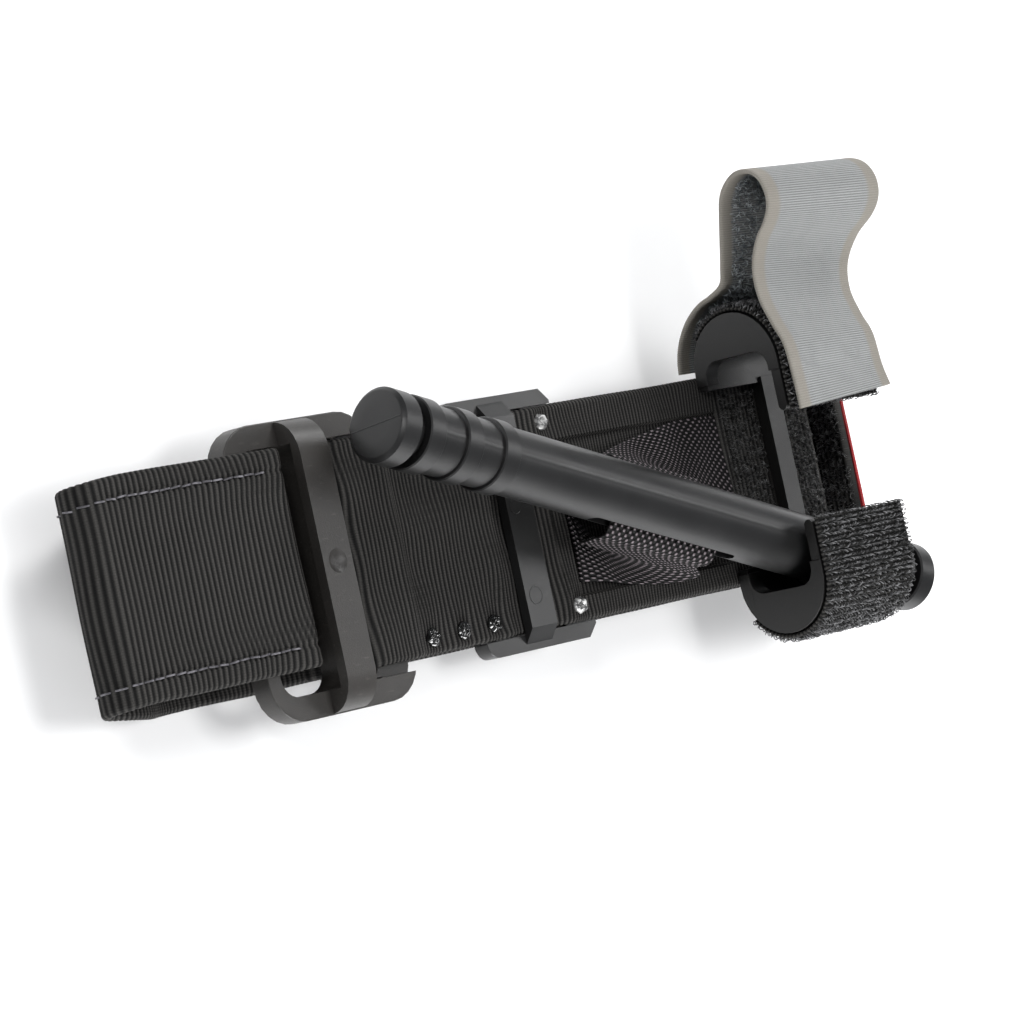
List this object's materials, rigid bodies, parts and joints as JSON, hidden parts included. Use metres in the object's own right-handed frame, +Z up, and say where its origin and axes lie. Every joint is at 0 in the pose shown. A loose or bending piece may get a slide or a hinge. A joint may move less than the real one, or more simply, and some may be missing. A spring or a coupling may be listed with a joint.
{
  "type": "windlass tourniquet",
  "caption": "Packed windlass tourniquet: folded webbing band with a slotted buckle, stiff plate, twist rod held in an open hook clip, and a grey retaining strap.",
  "frame": {"origin": "on the face it rests on, straight below the middle of the band where the windlass's swing axis crosses", "axes": "+X along the packed band from the folded tail to the red tip, +Y across the band towards the arm with the grey strap, +Z up out of the working face"},
  "size_m": [0.1952, 0.0847, 0.0383],
  "materials": {
    "moulded_plastic": "fine moulded texture, satin",
    "ribbed_webbing": "cross-ribbed woven nylon",
    "loop_pile": "fuzzy loop pile",
    "inner_band": "coarse plain weave with bright flecks",
    "hook_tape": "hook and loop tape, rough",
    "grey_strap": "fine cross-ribbed tape with paler woven edges",
    "red_tab": "woven",
    "melted_nylon": "glossy melted dots",
    "sewing_thread": "grey polyester thread"
  },
  "bodies": {
    "band": {"stabiliser_plate": "moulded_plastic", "rod_clip": "moulded_plastic", "band_buckle_loop": "ribbed_webbing", "band_window_run": "ribbed_webbing", "band_cover_run": "loop_pile", "band_inner_fold": "loop_pile", "band_slot_run": "ribbed_webbing", "band_tail": "ribbed_webbing", "inner_band_left": "inner_band", "inner_band_right": "inner_band", "hook_patch_near": "hook_tape", "hook_patch_far": "hook_tape", "strap_anchor": "grey_strap", "loop_weld_near_1": "melted_nylon", "loop_weld_near_2": "melted_nylon", "loop_weld_near_3": "melted_nylon", "loop_weld_far_1": "melted_nylon", "loop_weld_far_2": "melted_nylon", "loop_weld_far_3": "melted_nylon", "plate_weld_near": "melted_nylon", "plate_weld_far": "melted_nylon", "sewing_line_near": "sewing_thread", "sewing_line_far": "sewing_thread"},
    "windlass": {"windlass_rod": "moulded_plastic", "inner_band_loop": "inner_band"},
    "retaining_strap": {"strap_loop": "grey_strap"},
    "free_tip": {"band_tip": "loop_pile", "tip_tab": "red_tab"},
    "buckle": {"buckle": "moulded_plastic"}
  },
  "joints": [
    {"name": "windlass_swing", "type": "hinge", "parent": "band", "child": "windlass", "pos_m": [0, -0.0025, 0.02535], "axis": [0, 0, 1], "range_deg": [0, 39]},
    {"name": "strap_lift", "type": "hinge", "parent": "band", "child": "retaining_strap", "pos_m": [0.0436, 0.03344, 0.01966], "axis": [-1, 0, 0], "range_deg": [0, 80]},
    {"name": "tip_peel", "type": "hinge", "parent": "band", "child": "free_tip", "pos_m": [0.06553, 0, 0.00262], "axis": [0, 1, 0], "range_deg": [0, 50]},
    {"name": "buckle_tilt", "type": "hinge", "parent": "band", "child": "buckle", "pos_m": [-0.0605, 0, 0.01215], "axis": [0, 1, 0], "range_deg": [-3.5, 1.5]}
  ]
}
